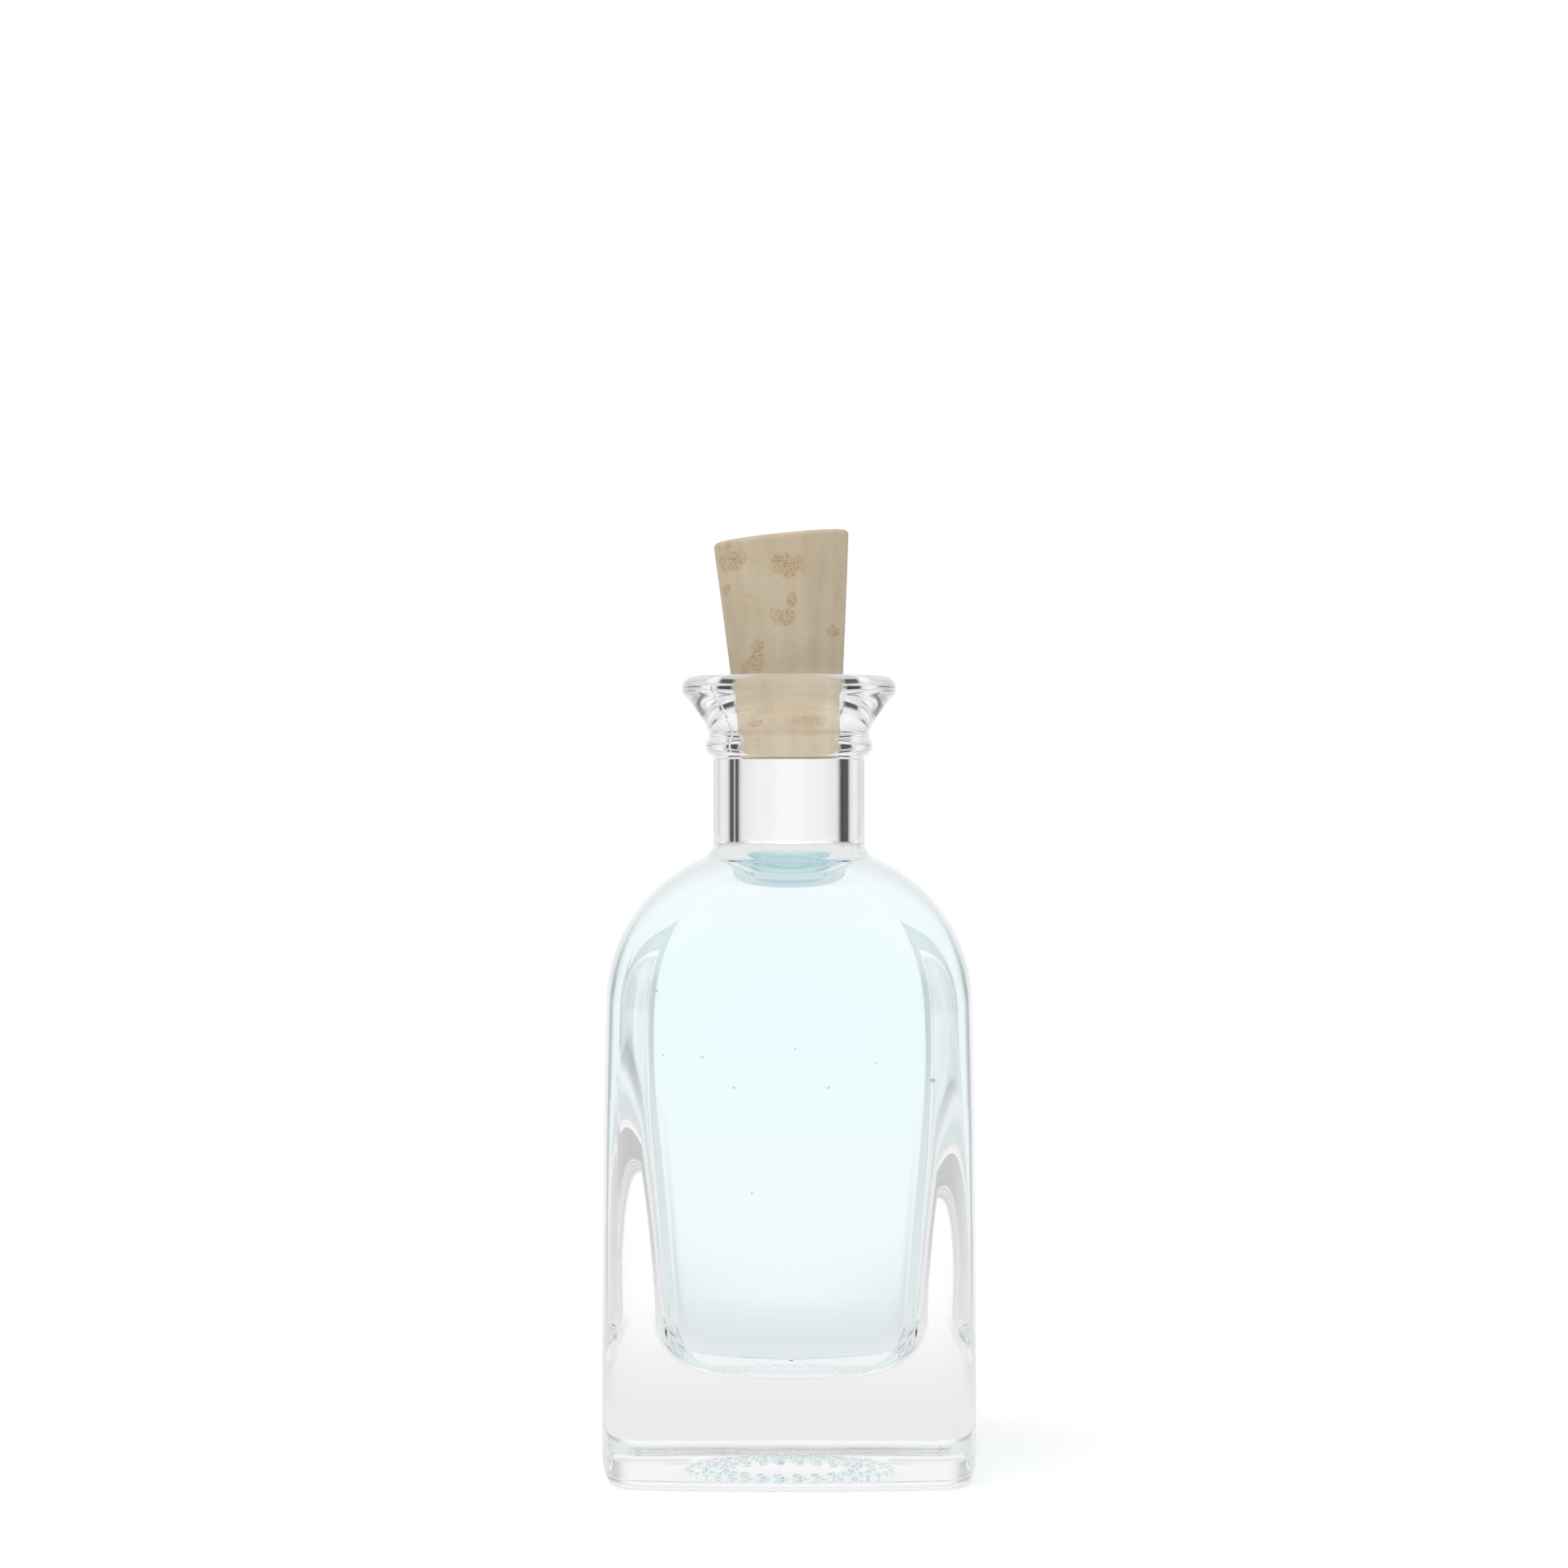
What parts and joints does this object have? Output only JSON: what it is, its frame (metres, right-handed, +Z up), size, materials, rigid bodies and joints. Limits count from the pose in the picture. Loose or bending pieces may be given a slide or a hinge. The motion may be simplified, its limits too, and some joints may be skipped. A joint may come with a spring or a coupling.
{
  "type": "square apothecary bottle with cork",
  "caption": "Small square glass apothecary bottle with rounded shoulders, a ringed neck and a flared lip, filled with pale blue liquid and closed by a tapered cork that lifts out.",
  "frame": {"origin": "on the bottle's axis, on the plane that it stands on", "axes": "+Z up along the bottle's axis, -Y out of the front face, +X to the right seen from the front; the cork's top leans towards -X"},
  "size_m": [0.0408, 0.0408, 0.1023],
  "materials": {
    "clear_glass": "gloss",
    "blue_liquid": "gloss",
    "natural_cork": "matte"
  },
  "bodies": {
    "bottle": {"glass_bottle": "clear_glass", "liquid_fill": "blue_liquid"},
    "cork": {"cork_stopper": "natural_cork"}
  },
  "joints": [
    {"name": "cork_lift", "type": "slide", "parent": "bottle", "child": "cork", "axis": [-0.0436, 0, 0.999], "range_m": [0, 0.02]}
  ]
}
